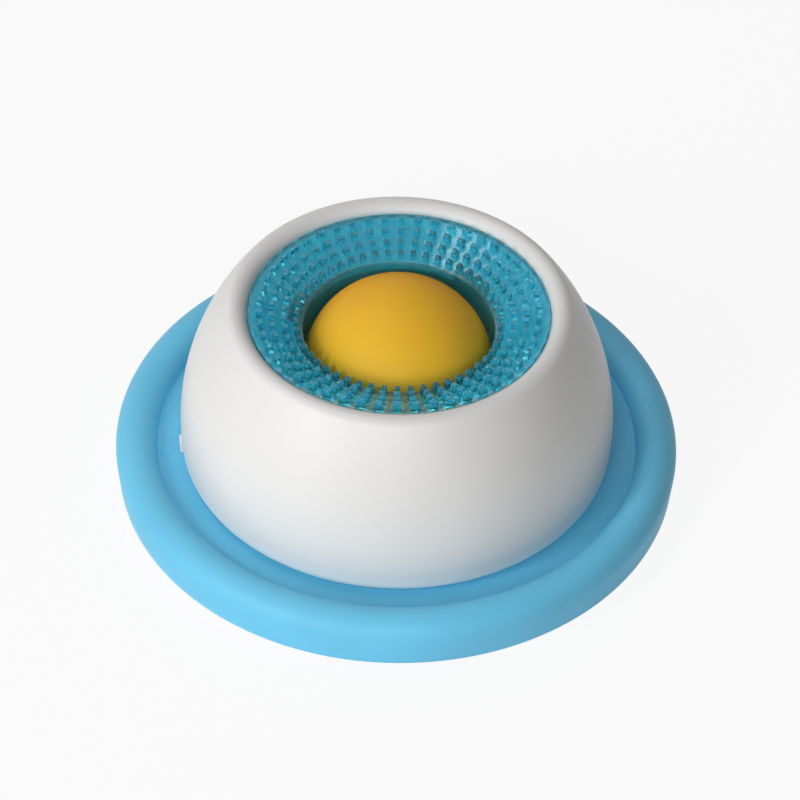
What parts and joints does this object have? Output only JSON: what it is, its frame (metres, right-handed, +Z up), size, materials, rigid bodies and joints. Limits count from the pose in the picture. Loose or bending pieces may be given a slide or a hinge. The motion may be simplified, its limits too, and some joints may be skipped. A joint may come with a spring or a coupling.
{
  "type": "lick treat dispenser",
  "caption": "Round lick dispenser for a pet: a ball rolls in a cup of soft food under a nubbed ring, in a domed twist-lock housing on a soft drip tray.",
  "frame": {"origin": "on the ground under the centre of the ball", "axes": "+Z up along the dispenser's axis, +X to the right and -Y towards the viewer of the picture"},
  "size_m": [0.15, 0.15, 0.0584],
  "materials": {
    "tray": "matte",
    "base": "matte",
    "pad": "matte",
    "cup": "gloss",
    "seal": "matte",
    "housing": "satin",
    "ring": "gloss",
    "ball": "satin"
  },
  "bodies": {
    "base": {"drip_tray": "tray", "base_plate": "base", "grip_pad_1": "pad", "grip_pad_2": "pad", "grip_pad_3": "pad", "grip_pad_4": "pad", "food_cup": "cup", "cup_seal": "seal"},
    "housing": {"housing_shell": "housing"},
    "ring": {"lick_ring": "ring"},
    "ball": {"ball_upper_half": "ball", "ball_lower_half": "ball"}
  },
  "joints": [
    {"name": "housing_turn", "type": "hinge", "parent": "base", "child": "housing", "pos_m": [0, 0, 0], "axis": [0, 0, 1], "range_deg": [0, 52]},
    {"name": "ring_turn", "type": "hinge", "parent": "housing", "child": "ring", "pos_m": [0, 0, 0.0477], "axis": [0, 0, 1], "range_deg": [0, 45]},
    {"name": "ball_roll", "type": "hinge", "parent": "base", "child": "ball", "pos_m": [0, 0, 0.0334], "axis": [1, 0, 0], "continuous": true}
  ]
}
